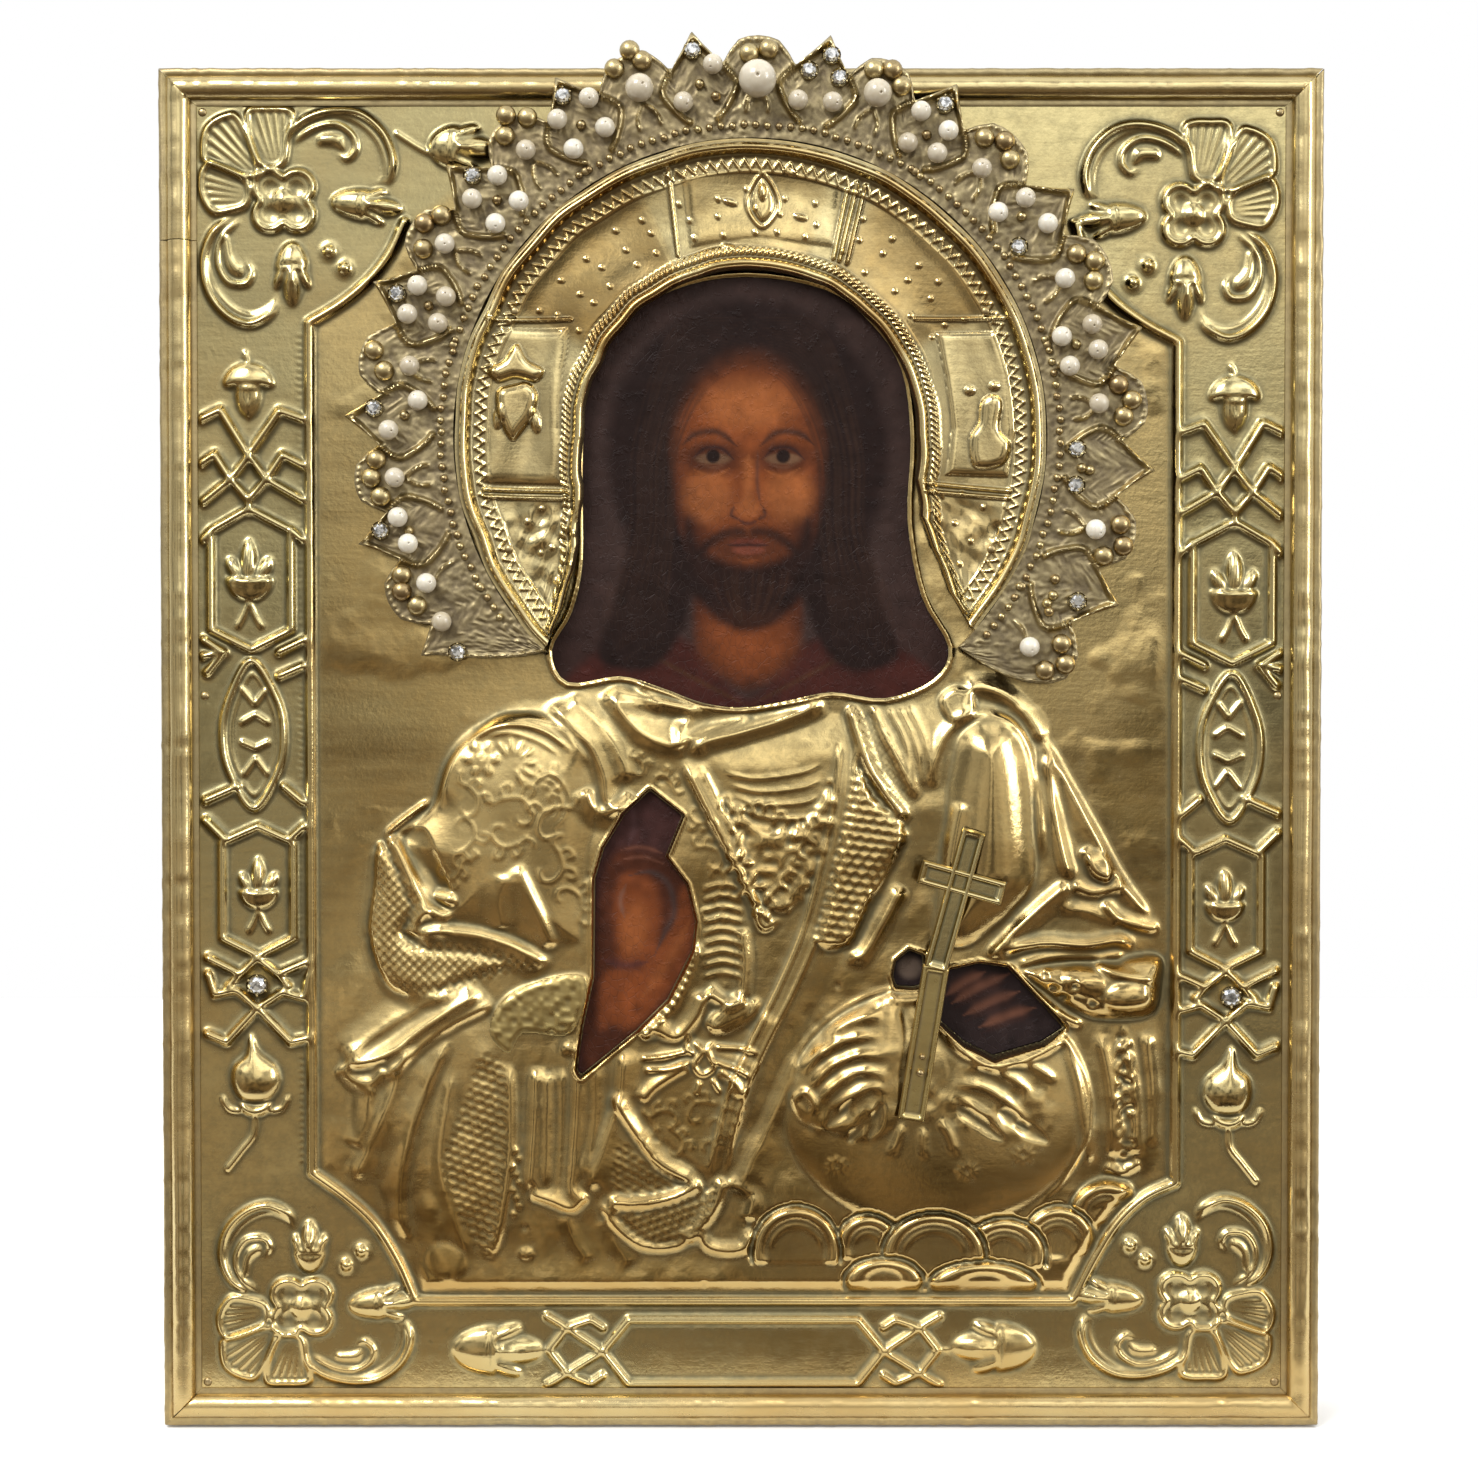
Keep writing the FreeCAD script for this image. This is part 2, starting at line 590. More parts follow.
def robe_folds():
    """Ridges of the folds, standing on the body of the robe."""
    folds = []
    for line in FOLD_LINES:
        foot = strip_outline(places(line), FOLD_WIDTH, 0.5)
        crest = strip_outline(places(line), FOLD_WIDTH * 0.4, 0.5)
        root = FACE_Y - BODY_HEIGHT + SHEET / 2
        top = FACE_Y - BODY_HEIGHT - FOLD_HEIGHT
        folds.append(stacked([foot, foot, crest], [root, FACE_Y - BODY_HEIGHT, top]))
    return folds


def orb_rings(shrink, drop):
    """Outlines and heights of the orb's dome."""
    x, z = place(*ORB_CENTRE)
    loops, heights = [], []
    for share, rise in ORB_LEVELS:
        turns = [2 * math.pi * i / ORB_POINTS for i in range(ORB_POINTS)]
        half_width = (PX_ORB_HALF_WIDTH * SCALE_X - shrink) * share
        half_tall = (PX_ORB_HALF_TALL * SCALE_Z - shrink) * share
        loops.append([(x + half_width * math.cos(t), z + half_tall * math.sin(t)) for t in turns])
        heights.append(rise * (ORB_HEIGHT - drop))
    return loops, heights


def orb_dome():
    loops, heights = orb_rings(0, 0)
    return raised(loops, heights, FACE_Y + SHEET / 2)


def orb_cavity():
    loops, heights = orb_rings(SHEET * 1.5, SHEET)
    return raised(loops, heights, FACE_Y + SHEET + CUT_OVERRUN)


def cloud(centre, radius_px, shrink, drop, root_y):
    x, z = place(*centre)
    foot = ring_points(x, z, radius_px * MM_PER_PX - shrink, CLOUD_POINTS)
    crest = ring_points(x, z, radius_px * MM_PER_PX - shrink - CLOUD_SLOPE, CLOUD_POINTS)
    return raised([foot, crest], [0, CLOUD_HEIGHT - drop], root_y)


def cover_sheet():
    half = PANEL_WIDTH / 2 - COVER_MARGIN
    plate = box(-half, half, FACE_Y, PAINT_FRONT_Y, BASE_GAP + COVER_MARGIN, PANEL_TOP - COVER_MARGIN)
    figure = [(smooth_loop(places(points), len(points)), height, slope)
              for points, height, slope in FIGURE_PADS]
    forms = [pad(*form) for form in figure]
    forms.append(orb_dome())
    forms += [cloud(centre, radius, 0, 0, FACE_Y + SHEET / 2) for centre, radius in CLOUDS]
    body = plate.multiFuse(forms)
    hollows = [pad_cavity(*form) for form, source in zip(figure, FIGURE_PADS) if source[0] in HOLLOW_PADS]
    hollows.append(orb_cavity())
    hollows += [cloud(centre, radius, SHEET * 1.5, SHEET, FACE_Y + SHEET + CUT_OVERRUN)
                for centre, radius in CLOUDS]
    body = body.cut(hollows)
    trims = [frame_bead()] + bottom_forms() + border_forms(False) + border_forms(True) + robe_folds()
    for centre, mirror_x, mirror_z in FLOWER_CENTRES:
        trims += corner_bouquet(centre, mirror_x, mirror_z)
    body = body.multiFuse(trims)
    return body.cut(windows() + shank_holes()).removeSplitter()


# Rim mouldings

def half_round(centre, radius, first, last):
    """Points over the rim's bead between two angles, as distance from the edge and Y."""
    turns = [first + (last - first) * i / RIM_STEPS for i in range(RIM_STEPS + 1)]
    return [(centre - radius * math.cos(t), FACE_Y - radius * math.sin(t)) for t in turns]


def rim_section(place_point):
    """Section of a rim moulding: flange, half-round hollow bead and lip."""
    front = FACE_Y - SHEET
    centre = SHEET + RIM_BEAD_RADIUS
    foot = math.asin(SHEET / RIM_BEAD_RADIUS)
    flange_end = FACE_Y + RIM_FLANGE_DEPTH
    section = [(0, flange_end), (0, front)] + half_round(centre, RIM_BEAD_RADIUS, foot, math.pi - foot)
    section += [(RIM_WIDTH, front), (RIM_WIDTH, FACE_Y)]
    section += half_round(centre, RIM_BEAD_RADIUS - SHEET, math.pi, 0)
    section += [(SHEET, FACE_Y), (SHEET, flange_end)]
    points = [place_point(u, y) for u, y in section]
    return Part.Face(Part.makePolygon(points + points[:1]))


def mitre_field(side):
    """Region of one side of the rim, bounded by the corner mitres."""
    half = COVER_WIDTH / 2
    top = COVER_HEIGHT
    gap = RIM_SEAM_GAP / 2
    deep = 2 * RIM_WIDTH
    corners = {
        "top": [(-half + gap, top), (half - gap, top), (half - gap - deep, top - deep),
                (-half + gap + deep, top - deep)],
        "bottom": [(-half + gap, 0), (half - gap, 0), (half - gap - deep, deep), (-half + gap + deep, deep)],
        "left": [(-half, gap), (-half, top - gap), (-half + deep, top - gap - deep),
                 (-half + deep, gap + deep)],
        "right": [(half, gap), (half, top - gap), (half - deep, top - gap - deep), (half - deep, gap + deep)],
    }
    return prism(corners[side], FACE_Y - 2 * RIM_BEAD_RADIUS, BACK_Y)


def rim_strip(side):
    half = COVER_WIDTH / 2
    top = COVER_HEIGHT
    sections = {
        "top": (lambda u, y: V(-half, y, top - u), V(COVER_WIDTH, 0, 0)),
        "bottom": (lambda u, y: V(-half, y, u), V(COVER_WIDTH, 0, 0)),
        "left": (lambda u, y: V(-half + u, y, 0), V(0, 0, top)),
        "right": (lambda u, y: V(half - u, y, 0), V(0, 0, top)),
    }
    place_point, run = sections[side]
    strip = rim_section(place_point).extrude(run).common(mitre_field(side))
    return strip.cut(rim_nail_holes())


def rim_strip_left(lower):
    strip = rim_strip("left")
    seam = RIM_SEAM_GAP / 2
    reach = COVER_WIDTH
    if lower:
        keep = box(-reach, reach, -reach, reach, 0, RIM_LAP_HEIGHT - seam)
    else:
        keep = box(-reach, reach, -reach, reach, RIM_LAP_HEIGHT + seam, PANEL_TOP + RIM_WIDTH)
    return strip.common(keep)


# Nails through the rim's flanges

RIM_NAIL_SHARES = [0.08, 0.34, 0.62, 0.92]
RIM_NAIL_Y = FACE_Y + RIM_FLANGE_DEPTH * 0.6


def rim_nail_places():
    """Head centres and inward directions of the nails in both sides and the top."""
    half = COVER_WIDTH / 2
    found = []
    for share in RIM_NAIL_SHARES:
        z = BASE_GAP + PANEL_HEIGHT * share
        found += [(V(-half, RIM_NAIL_Y, z), V(1, 0, 0)), (V(half, RIM_NAIL_Y, z), V(-1, 0, 0))]
        found.append((V(PANEL_WIDTH * (share - 0.5), RIM_NAIL_Y, COVER_HEIGHT), V(0, 0, -1)))
    return found


def square_bar(start, direction, half_side, length):
    """Square shank from start along an axis direction."""
    side = V(0, half_side, 0) if direction.y == 0 else V(half_side, 0, 0)
    up = direction.cross(side)
    corners = [start + side + up, start - side + up, start - side - up, start + side - up]
    return Part.Face(Part.makePolygon(corners + corners[:1])).extrude(direction * length)


def nail(start, direction, head_radius, head_height, shank, length):
    """Nail whose head rests on the sheet at start."""
    axis_y = V(0, 1, 0)
    head = low_head(head_radius, head_height)
    turn = FreeCAD.Rotation(axis_y, direction)
    head.Placement = FreeCAD.Placement(start, turn)
    return head.fuse(square_bar(start, direction, shank, length))


def low_head(radius, height):
    """Faceted nail head, its seat at the origin and its crown towards -Y."""
    return stacked([ring_points(0, 0, radius), ring_points(0, 0, radius * 0.5)], [0, -height])


def rim_nail_holes():
    return [square_bar(start - direction * CUT_OVERRUN, direction, NAIL_SHANK_RADIUS + STONE_FIT,
                       CUT_OVERRUN + NAIL_LENGTH + STONE_FIT) for start, direction in rim_nail_places()]


def rim_nails():
    return [nail(start, direction, NAIL_HEAD_RADIUS, NAIL_HEAD_HEIGHT, NAIL_SHANK_RADIUS, NAIL_LENGTH)
            for start, direction in rim_nail_places()]


# Pins through the front: cover, nimbus and crown

NIMBUS_PIN_ANGLES = [-25.0, 28.0, 152.0, 205.0]
CROWN_PIN_ANGLES = [-29.0, 17.0, 58.0, 122.0, 163.0, 209.0]
NIMBUS_PIN_RADIUS = PX_NIMBUS_OUTER - PX_NIMBUS_BEAD - 2 * PIN_HEAD_RADIUS / MM_PER_PX
CROWN_PIN_RADIUS = PX_CROWN_SKIRT + 2 * PIN_HEAD_RADIUS / MM_PER_PX


def cover_pin_places():
    """Pins close inside the rim, at both sides of its top, middle and bottom."""
    inset = RIM_WIDTH + PIN_RIM_GAP + PIN_HEAD_RADIUS
    x = COVER_WIDTH / 2 - inset
    heights = (inset, COVER_HEIGHT * PIN_MIDDLE_SHARE, COVER_HEIGHT - inset)
    return [(side * x, z) for z in heights for side in (-1, 1)]


def pin_seats():
    """Seat points of all front pins, by the piece that they hold."""
    cover = [V(x, FACE_Y, z) for x, z in cover_pin_places()]
    nimbus = [(NIMBUS_PIN_RADIUS, angle, FACE_Y - NIMBUS_PANEL_HEIGHT) for angle in NIMBUS_PIN_ANGLES]
    crown = [(CROWN_PIN_RADIUS, angle, CROWN_FRONT_Y) for angle in CROWN_PIN_ANGLES]
    found = {"cover": cover}
    for name, seats in (("nimbus", nimbus), ("crown", crown)):
        found[name] = [V(polar(r, a)[0], y, polar(r, a)[1]) for r, a, y in seats]
    return found


def pin_end_y():
    return FACE_Y + PIN_LENGTH


def shank_holes():
    """Holes that all the front pins pass through."""
    half = PIN_SHANK_RADIUS + STONE_FIT
    front = CROWN_FRONT_Y - CUT_OVERRUN
    back = pin_end_y() + STONE_FIT
    return [square_bar(V(p.x, front, p.z), V(0, 1, 0), half, back - front)
            for seats in pin_seats().values() for p in seats]


def pins(name):
    made = []
    for seat in pin_seats()[name]:
        head = low_head(PIN_HEAD_RADIUS, PIN_HEAD_HEIGHT)
        head.translate(seat)
        made.append(head.fuse(square_bar(seat, V(0, 1, 0), PIN_SHANK_RADIUS, pin_end_y() - seat.y)))
    return made


# Nimbus

def nimbus_section():
    """Closed section of the ring: inner bead, dished panel, outer bead, and the hollow behind them."""
    wall = SHEET / MM_PER_PX
    inner, outer = PX_NIMBUS_INNER, PX_NIMBUS_OUTER
    inner_end, outer_start = inner + PX_NIMBUS_INNER_BEAD, outer - PX_NIMBUS_BEAD
    middle = (inner_end + outer_start) / 2
    front = [
        (inner, 0), (inner + PX_NIMBUS_INNER_BEAD * 0.25, NIMBUS_INNER_BEAD_HEIGHT),
        (inner + PX_NIMBUS_INNER_BEAD * 0.75, NIMBUS_INNER_BEAD_HEIGHT),
        (inner_end, NIMBUS_PANEL_HEIGHT), (middle, NIMBUS_PANEL_HEIGHT - NIMBUS_PANEL_DIP),
        (outer_start, NIMBUS_PANEL_HEIGHT), (outer_start + PX_NIMBUS_BEAD * 0.25, NIMBUS_BEAD_HEIGHT),
        (outer_start + PX_NIMBUS_BEAD * 0.75, NIMBUS_BEAD_HEIGHT), (outer, 0),
    ]
    back = [
        (outer - wall, 0), (outer - PX_NIMBUS_BEAD / 2, NIMBUS_BEAD_HEIGHT - SHEET * 1.5),
        (outer_start, NIMBUS_PANEL_HEIGHT - SHEET), (middle, NIMBUS_PANEL_HEIGHT - NIMBUS_PANEL_DIP - SHEET),
        (inner_end, NIMBUS_PANEL_HEIGHT - SHEET),
        (inner + PX_NIMBUS_INNER_BEAD / 2, NIMBUS_INNER_BEAD_HEIGHT - SHEET * 1.5), (inner + wall, 0),
    ]
    return front + back


def swept_ring(section, start_angle, end_angle):
    """Section of radius and height turned about the nimbus axis in small flat steps."""
    rings = []
    for i in range(RING_STEPS + 1):
        angle = start_angle + (end_angle - start_angle) * i / RING_STEPS
        spots = [(polar(radius, angle), height) for radius, height in section]
        rings.append([V(x, FACE_Y - height, z) for (x, z), height in spots])
    return skinned(rings)


ARM_RIBS = [[(678, 256), (670, 182)], [(836, 262), (852, 194)], [(572, 322), (494, 322)],
            [(566, 495), (488, 495)], [(914, 321), (996, 321)], [(924, 484), (1004, 490)]]


def nimbus_ring():
    ring = swept_ring(nimbus_section(), NIMBUS_START_ANGLE, NIMBUS_END_ANGLE)
    low = NIMBUS_PANEL_HEIGHT - NIMBUS_PANEL_DIP - SHEET / 2
    ribs = []
    for line in ARM_RIBS:
        foot = strip_outline(places(line), ARM_RIB_WIDTH, 1.0)
        ribs.append(prism(foot, FACE_Y - NIMBUS_PANEL_HEIGHT - ARM_RIB_HEIGHT, FACE_Y - low))
    return ring.multiFuse(ribs).cut(shank_holes()).removeSplitter()


# Crown

def crown_outline():
    """Outer edge from the first lobe to the last, lobes and ogee tips by turns."""
    turns = zip([CROWN_LOBE_ANGLES[0] - CROWN_RIGHT_END_TURN] + CROWN_TIP_ANGLES, CROWN_LOBE_ANGLES,
                CROWN_TIP_ANGLES + [CROWN_LOBE_ANGLES[-1] + CROWN_LEFT_END_TURN])
    edge = []
    for before, lobe, after in turns:
        edge += [(PX_CROWN_SHOULDER, before + (lobe - before) * (1 - CROWN_TIP_SHARE)),
                 (PX_CROWN_VALLEY, before + (lobe - before) * (1 - CROWN_VALLEY_SHARE)),
                 (PX_CROWN_SIDE, before + (lobe - before) * (1 - CROWN_LOBE_SHARE)),
                 (PX_CROWN_LOBE, lobe),
                 (PX_CROWN_SIDE, lobe + (after - lobe) * CROWN_LOBE_SHARE),
                 (PX_CROWN_VALLEY, lobe + (after - lobe) * CROWN_VALLEY_SHARE),
                 (PX_CROWN_SHOULDER, lobe + (after - lobe) * CROWN_TIP_SHARE),
                 (PX_CROWN_TIP, after)]
    return [polar(radius, angle) for radius, angle in edge[:-1]]


CROWN_FRONT_Y = FACE_Y - CROWN_STANDOFF - CROWN_THICKNESS
CROWN_RIGHT_END_TURN = 5.5
CROWN_LEFT_END_TURN = 10.0
CROWN_LEFT_FOOT_TURN = 22.0
CROWN_BERRIES = [
    (405, 576), (405, 592), (420, 606), (380, 462), (375, 480), (384, 498), (378, 354), (388, 374),
    (445, 221), (428, 229), (427, 254), (509, 123), (530, 125), (508, 143), (631, 59), (616, 77),
    (643, 69), (872, 78), (890, 78), (899, 94), (981, 145), (1001, 148), (1006, 166), (1072, 259),
    (1090, 266), (1089, 285), (1114, 388), (1127, 403), (1119, 419), (1116, 526), (1119, 547),
    (1100, 557), (1058, 644), (1062, 664), (1042, 670), (768, 58), (749, 62),
]


def crown_plate():
    start = CROWN_LOBE_ANGLES[0] - CROWN_RIGHT_END_TURN
    end = CROWN_LOBE_ANGLES[-1] + CROWN_LEFT_FOOT_TURN
    inner, skirt = PX_CROWN_INNER, PX_CROWN_SKIRT
    rise = CROWN_STANDOFF + CROWN_THICKNESS
    wall = swept_ring([(inner, 0), (inner, rise), (skirt, rise), (skirt, 0)], start, end)
    inner_edge = [polar(inner, end + (start - end) * i / RING_STEPS) for i in range(RING_STEPS + 1)]
    plate = prism(crown_outline() + inner_edge, CROWN_FRONT_Y, CROWN_FRONT_Y + CROWN_THICKNESS)
    root = CROWN_FRONT_Y + CROWN_THICKNESS / 2
    forms = [plate, wall]
    for before, tip, after in zip(CROWN_LOBE_ANGLES, CROWN_TIP_ANGLES, CROWN_LOBE_ANGLES[1:]):
        near = tip + (before - tip) * (1 - CROWN_VALLEY_SHARE)
        far = tip + (after - tip) * (1 - CROWN_VALLEY_SHARE)
        line = [polar(skirt, before), polar(PX_CROWN_VALLEY, near), polar(PX_CROWN_LOBE, tip),
                polar(PX_CROWN_VALLEY, far), polar(skirt, after)]
        foot = strip_outline(line, CROWN_RIDGE_WIDTH, 1.0)
        forms.append(prism(foot, CROWN_FRONT_Y - CROWN_RIDGE_HEIGHT, root))
    for x, z in places(CROWN_BERRIES):
        forms.append(stud(x, z, CROWN_BERRY_RADIUS, CROWN_BERRY_HEIGHT, root, CROWN_FRONT_Y))
    body = forms[0].multiFuse(forms[1:])
    clear = CROWN_FRONT_Y - CROWN_RIDGE_HEIGHT - CUT_OVERRUN
    seats = [prism(ring_points(x, z, radius + STONE_FIT, PEARL_SIDES), clear, CROWN_FRONT_Y)
             for x, z, radius in crown_seats()]
    return body.cut(seats + shank_holes()).removeSplitter()


def crown_seats():
    """Places on the plate that ridges leave free for a pearl or a stone's cup."""
    seats = [(x, z, radius) for x, z, radius in pearl_places()]
    seats += [(x, z, STONE_RADIUS + CUP_WALL) for x, z in places(CROWN_STONES)]
    return seats + [(p.x, p.z, PIN_HEAD_RADIUS) for p in pin_seats()["crown"]]


# Pearls

TOP_PEARL = (757, 90)
SIDE_PEARLS = [(641, 98), (875, 103)]
LOBE_PEARLS = [(430, 584), (399, 480), (414, 370), (449, 250), (529, 158), (978, 176), (1060, 284),
               (1094, 407), (1091, 531), (1026, 647)]
CELL_PEARLS = [
    (402, 519), (412, 545), (422, 404), (393, 433), (422, 291), (450, 302), (412, 319), (442, 328),
    (501, 183), (476, 206), (522, 208), (499, 230), (591, 107), (560, 128), (607, 136), (576, 157),
    (713, 74), (684, 111), (797, 109), (831, 111), (918, 120), (945, 139), (905, 151), (934, 161),
    (1021, 205), (994, 219), (1043, 230), (1087, 329), (1057, 341), (1093, 354), (1065, 370), (445, 622),
]


def pearl_places():
    found = [(*place(*TOP_PEARL), TOP_PEARL_RADIUS)]
    found += [(x, z, SIDE_PEARL_RADIUS) for x, z in places(SIDE_PEARLS)]
    return found + [(x, z, PEARL_RADIUS) for x, z in places(LOBE_PEARLS + CELL_PEARLS)]


def pearl(x, z, radius):
    """Faceted bead resting on the crown's front."""
    cap = radius * 0.5
    loops = [ring_points(x, z, reach, PEARL_SIDES) for reach in (cap, radius, cap)]
    ys = [CROWN_FRONT_Y, CROWN_FRONT_Y - radius, CROWN_FRONT_Y - 2 * radius]
    return stacked(loops, ys)


# Cut stones in collets

CROWN_STONES = [(460, 652), (384, 532), (378, 411), (401, 298), (476, 182), (565, 104), (693, 59),
                (808, 79), (830, 64), (838, 86), (942, 112), (1015, 252), (1073, 451), (1072, 487), (1074, 602)]
BORDER_STONES = [(257, 985), (1231, 997)]


def stone(x, z, radius, seat_y):
    """Cut stone: girdle, slanted crown facets and a flat table."""
    girdle = seat_y - CUP_HEIGHT
    loops = [ring_points(x, z, radius * share, STONE_SIDES) for share in (0.4, 1, 0.55)]
    ys = [seat_y - STONE_FIT, girdle, girdle - STONE_HEIGHT * 0.5]
    return stacked(loops, ys)


def cup(x, z, radius, seat_y):
    """Faceted collet round a stone, standing on its seat."""
    outer = prism(ring_points(x, z, radius + CUP_WALL, STONE_SIDES), seat_y - CUP_HEIGHT, seat_y)
    inner = prism(ring_points(x, z, radius + STONE_FIT, STONE_SIDES), seat_y - CUP_HEIGHT - CUT_OVERRUN,
                  seat_y + CUT_OVERRUN)
    return outer.cut(inner)


def crown_crystals():
    return [stone(x, z, STONE_RADIUS, CROWN_FRONT_Y) for x, z in places(CROWN_STONES)]


def crystal_cups():
    return [cup(x, z, STONE_RADIUS, CROWN_FRONT_Y) for x, z in places(CROWN_STONES)]


def border_crystals():
    return [stone(x, z, BORDER_STONE_RADIUS, FACE_Y) for x, z in places(BORDER_STONES)]


def border_cups():
    return [cup(x, z, BORDER_STONE_RADIUS, FACE_Y) for x, z in places(BORDER_STONES)]


# Applied cross and the patch on the cuff

CROSS_TOP = (971, 828)
CROSS_JOINT = (933, 965)
CROSS_FOOT = (909, 1116)
CROSS_ARM_CENTRE = (959, 880)
CROSS_RIVETS = [(918, 1068), (920, 1052)]
CROSS_BACK_Y = FACE_Y - max(SHOULDER_HEIGHT, ORB_HEIGHT) - CROSS_STANDOFF
PATCH = [(490, 1030), (509, 1052), (524, 1032), (566, 1034), (582, 1012), (586, 978), (560, 974), (508, 994)]


def orb_cross():
    shaft = strip_outline(places([CROSS_TOP, CROSS_JOINT]), CROSS_WIDTH, 1.0)
    top, joint = place(*CROSS_TOP), place(*CROSS_JOINT)
    across = unit(top, joint)
    x, z = place(*CROSS_ARM_CENTRE)
    half = CROSS_ARM_LENGTH / 2
    ends = [(x - across[1] * half, z + across[0] * half), (x + across[1] * half, z - across[0] * half)]
    arm = strip_outline(ends, CROSS_WIDTH, 1.0)
    front = CROSS_BACK_Y - CROSS_THICKNESS
    cross = prism(shaft, front, CROSS_BACK_Y).fuse(prism(arm, front, CROSS_BACK_Y)).removeSplitter()
    return cross.cut(cross_foot())


def cross_foot():
    plate = strip_outline(places([CROSS_JOINT, CROSS_FOOT]), CROSS_FOOT_WIDTH, 1.0)
    return prism(plate, CROSS_BACK_Y - CROSS_FOOT_THICKNESS, CROSS_BACK_Y)


def cross_rivets():
    seat = CROSS_BACK_Y - CROSS_FOOT_THICKNESS
    made = []
    for x, z in places(CROSS_RIVETS):
        head = low_head(RIVET_RADIUS, RIVET_HEIGHT)
        head.translate(V(x, seat, z))
        made.append(head)
    return made


def cuff_patch():
    return prism(places(PATCH), FACE_Y - BODY_HEIGHT - PATCH_THICKNESS, FACE_Y - BODY_HEIGHT)


# Wooden panel

def batten(centre_height, widest_left, clearance):
    """Tapered dovetail batten running across the back, narrow end at its stop."""
    start, end = -PANEL_WIDTH / 2, PANEL_WIDTH / 2 - BATTEN_SHORT
    if not widest_left:
        start, end = -end, -start
    wide, narrow = BATTEN_WIDTH / 2, (BATTEN_WIDTH - BATTEN_TAPER) / 2
    halves = (wide, narrow) if widest_left else (narrow, wide)
    floor = BACK_Y - BATTEN_DEPTH - clearance
    rings = []
    for x, half in zip((start - clearance, end + clearance), halves):
        neck = half + clearance
        foot = neck + BATTEN_UNDERCUT
        outline = [(-foot, floor), (-neck, BACK_Y), (-neck, BACK_Y + BATTEN_PROUD),
                   (neck, BACK_Y + BATTEN_PROUD), (neck, BACK_Y), (foot, floor)]
        rings.append([V(x, y, centre_height + z) for z, y in outline])
    return skinned(rings)


def battens():
    upper = BASE_GAP + PANEL_HEIGHT * BATTEN_UPPER_SHARE
    lower = BASE_GAP + PANEL_HEIGHT * BATTEN_LOWER_SHARE
    return {"batten_upper": (upper, True), "batten_lower": (lower, False)}


def plank(left):
    edge = PLANK_JOINT_OFFSET - PLANK_JOINT_GAP / 2 if left else PLANK_JOINT_OFFSET + PLANK_JOINT_GAP / 2
    x0, x1 = (-PANEL_WIDTH / 2, edge) if left else (edge, PANEL_WIDTH / 2)
    board = box(x0, x1, WOOD_FRONT_Y, BACK_Y, BASE_GAP, PANEL_TOP)
    sockets = [batten(height, side, BATTEN_CLEARANCE) for height, side in battens().values()]
    return board.cut(sockets + rim_nail_holes() + shank_holes() + staple_holes())


def layer(y_back, thickness):
    half = PANEL_WIDTH / 2 - LAYER_MARGIN
    sheet = box(-half, half, y_back - thickness, y_back, BASE_GAP + LAYER_MARGIN, PANEL_TOP - LAYER_MARGIN)
    return sheet.cut(shank_holes())


# Hanging fittings

def staple_half_width(gap):
    return RING_WIRE_RADIUS + RING_CLEARANCE + gap


def staple_profile(half, x):
    """U outline in the plane across the panel: two legs into the wood and a round outer end."""
    end = BACK_Y - STAPLE_SHANK
    top, bottom = V(x, PIVOT_Y, PIVOT_HEIGHT + half), V(x, PIVOT_Y, PIVOT_HEIGHT - half)
    edges = [Part.LineSegment(V(x, end, PIVOT_HEIGHT + half), top).toShape(),
             Part.Arc(top, V(x, PIVOT_Y + half, PIVOT_HEIGHT), bottom).toShape(),
             Part.LineSegment(bottom, V(x, end, PIVOT_HEIGHT - half)).toShape(),
             Part.LineSegment(V(x, end, PIVOT_HEIGHT - half), V(x, end, PIVOT_HEIGHT + half)).toShape()]
    return Part.Face(Part.Wire(edges)).extrude(V(STAPLE_WIDTH, 0, 0))


def ring_staple():
    x = -STAPLE_WIDTH / 2
    return staple_profile(staple_half_width(STAPLE_WIRE), x).cut(staple_profile(staple_half_width(0), x))


def staple_holes():
    """Two slots in the wood and the plate for the staple's legs."""
    half = STAPLE_WIDTH / 2 + STONE_FIT
    near = staple_half_width(0) - STONE_FIT
    far = staple_half_width(STAPLE_WIRE) + STONE_FIT
    back = BACK_Y + PLATE_THICKNESS + CUT_OVERRUN
    front = BACK_Y - STAPLE_SHANK - STONE_FIT
    return [box(-half, half, front, back, PIVOT_HEIGHT + low, PIVOT_HEIGHT + high)
            for low, high in ((near, far), (-far, -near))]


def ring_plate():
    plate = box(-PLATE_WIDTH / 2, PLATE_WIDTH / 2, BACK_Y, BACK_Y + PLATE_THICKNESS,
                PIVOT_HEIGHT - PLATE_HEIGHT / 2, PIVOT_HEIGHT + PLATE_HEIGHT / 2)
    corners = [edge for edge in plate.Edges if abs(edge.tangentAt(edge.FirstParameter).y) > 0.9]
    return plate.makeChamfer(PLATE_CORNER, corners).cut(staple_holes())


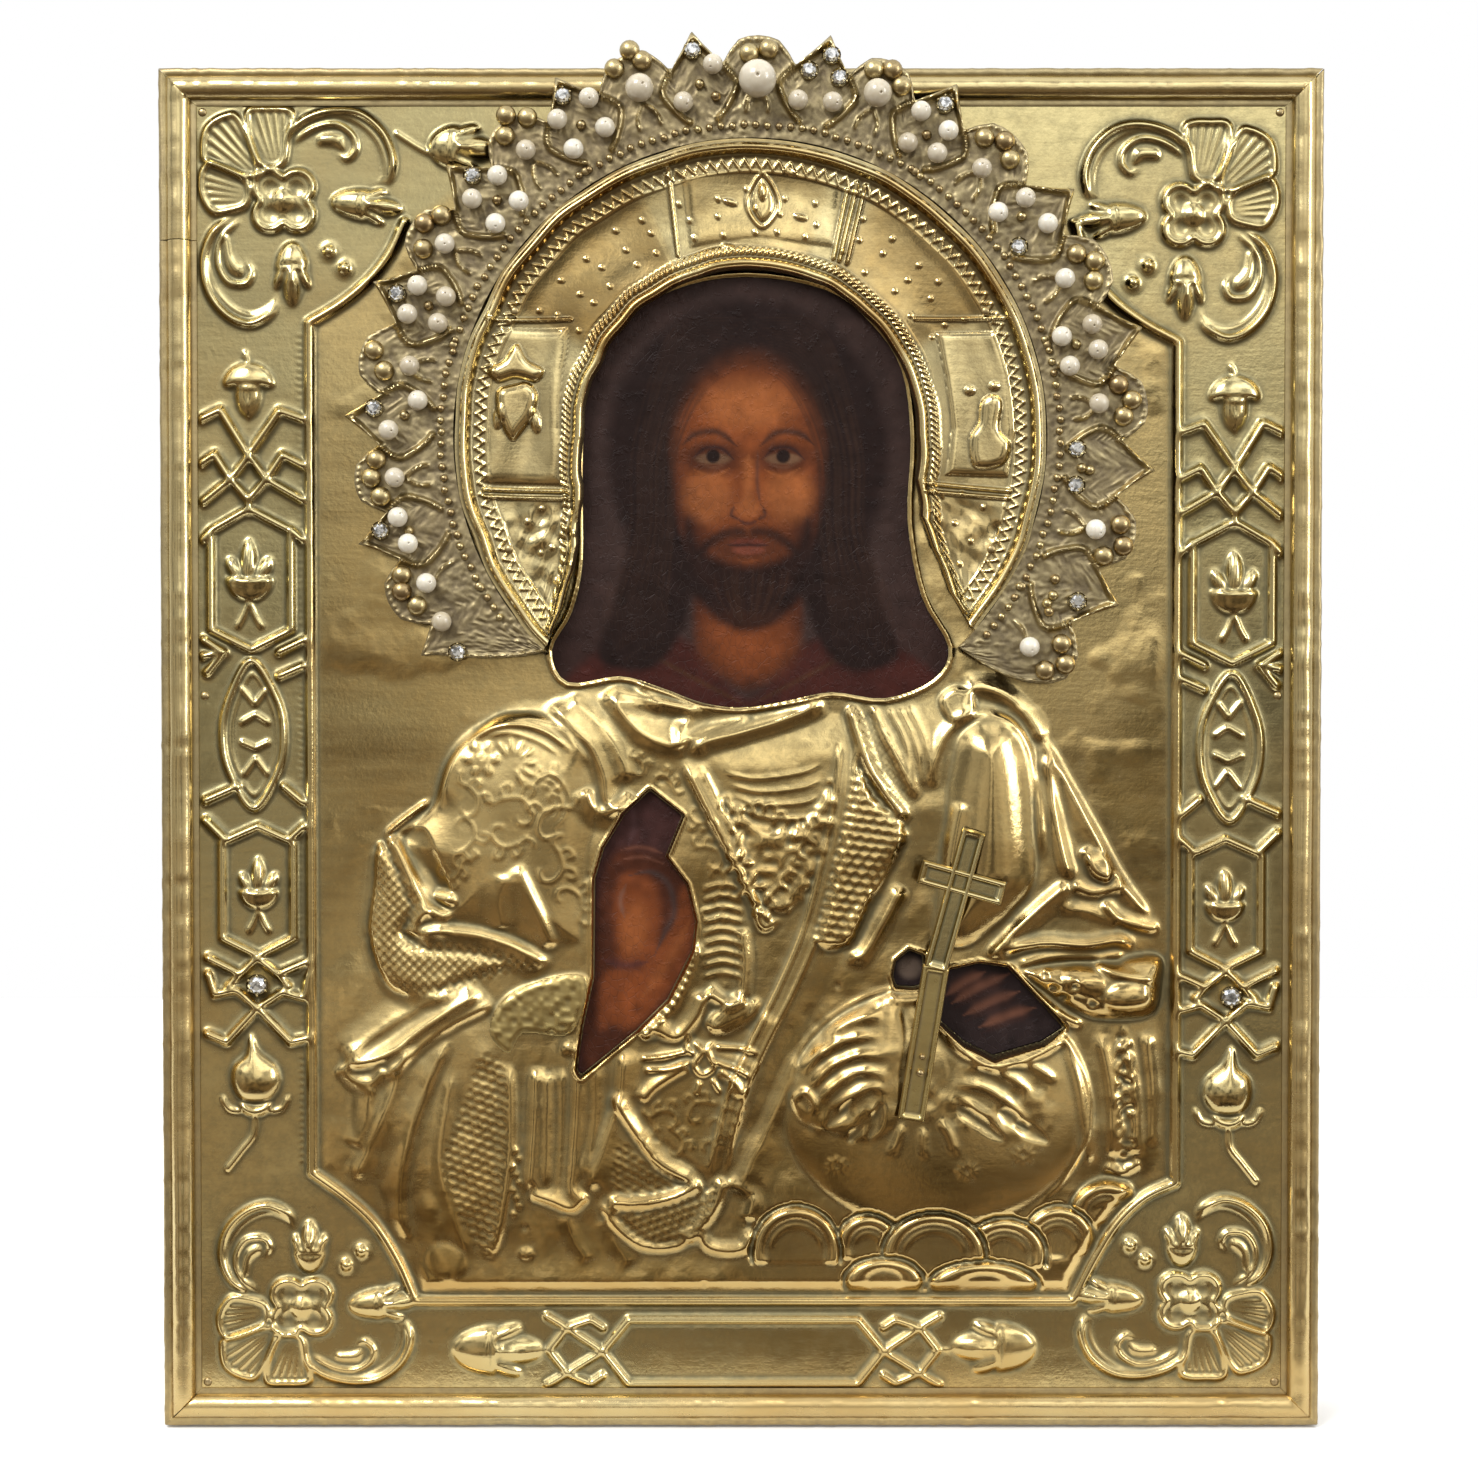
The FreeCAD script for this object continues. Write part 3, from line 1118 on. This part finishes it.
def hanging_ring():
    """Wire ring hanging from the pivot, as flat facets round its many-sided section."""
    section = ring_points(RING_RADIUS, PIVOT_Y, RING_WIRE_RADIUS, RING_SIDES, 180 / RING_SIDES)
    centre_z = PIVOT_HEIGHT - RING_RADIUS
    rings = []
    for i in range(RING_TURN_STEPS):
        turn = 2 * math.pi * (i + 0.5) / RING_TURN_STEPS
        rings.append([V(r * math.sin(turn), y, centre_z + r * math.cos(turn)) for r, y in section])
    return skinned(rings, endless=True)


def check(name, shape, solids):
    """Report a piece that isn't as many sound solids as it should be."""
    if not shape.isValid() or len(shape.Solids) != solids:
        print("check", name, "valid", shape.isValid(), "solids", len(shape.Solids), "wanted", solids)


def main():
    os.makedirs("parts", exist_ok=True)
    linen_y = WOOD_FRONT_Y
    gesso_y = linen_y - LINEN_THICKNESS
    paint_y = gesso_y - GESSO_THICKNESS
    single = {
        "panel_plank_left": plank(True),
        "panel_plank_right": plank(False),
        "linen_layer": layer(linen_y, LINEN_THICKNESS),
        "gesso_ground": layer(gesso_y, GESSO_THICKNESS),
        "paint_layer": layer(paint_y, PAINT_THICKNESS),
        "cover_sheet": cover_sheet(),
        "rim_strip_top": rim_strip("top"),
        "rim_strip_right": rim_strip("right"),
        "rim_strip_bottom": rim_strip("bottom"),
        "rim_strip_left_upper": rim_strip_left(False),
        "rim_strip_left_lower": rim_strip_left(True),
        "nimbus_ring": nimbus_ring(),
        "crown_plate": crown_plate(),
        "orb_cross": orb_cross(),
        "cross_foot": cross_foot(),
        "cuff_patch": cuff_patch(),
        "ring_plate": ring_plate(),
        "ring_staple": ring_staple(),
        "hanging_ring": hanging_ring(),
    }
    for name, (height, widest_left) in battens().items():
        single[name] = batten(height, widest_left, 0)
    groups = {
        "rim_nails": rim_nails(),
        "cover_pins": pins("cover"),
        "nimbus_nails": pins("nimbus"),
        "crown_nails": pins("crown"),
        "crown_pearls": [pearl(*spot) for spot in pearl_places()],
        "crown_crystals": crown_crystals(),
        "crystal_cups": crystal_cups(),
        "border_crystals": border_crystals(),
        "border_cups": border_cups(),
        "cross_rivets": cross_rivets(),
    }
    for name, shape in single.items():
        check(name, shape, 1)
        save(shape.Solids[0] if len(shape.Solids) == 1 else shape, name)
    for name, solids in groups.items():
        shape = Part.makeCompound(solids)
        check(name, shape, len(solids))
        save(shape, name)


main()
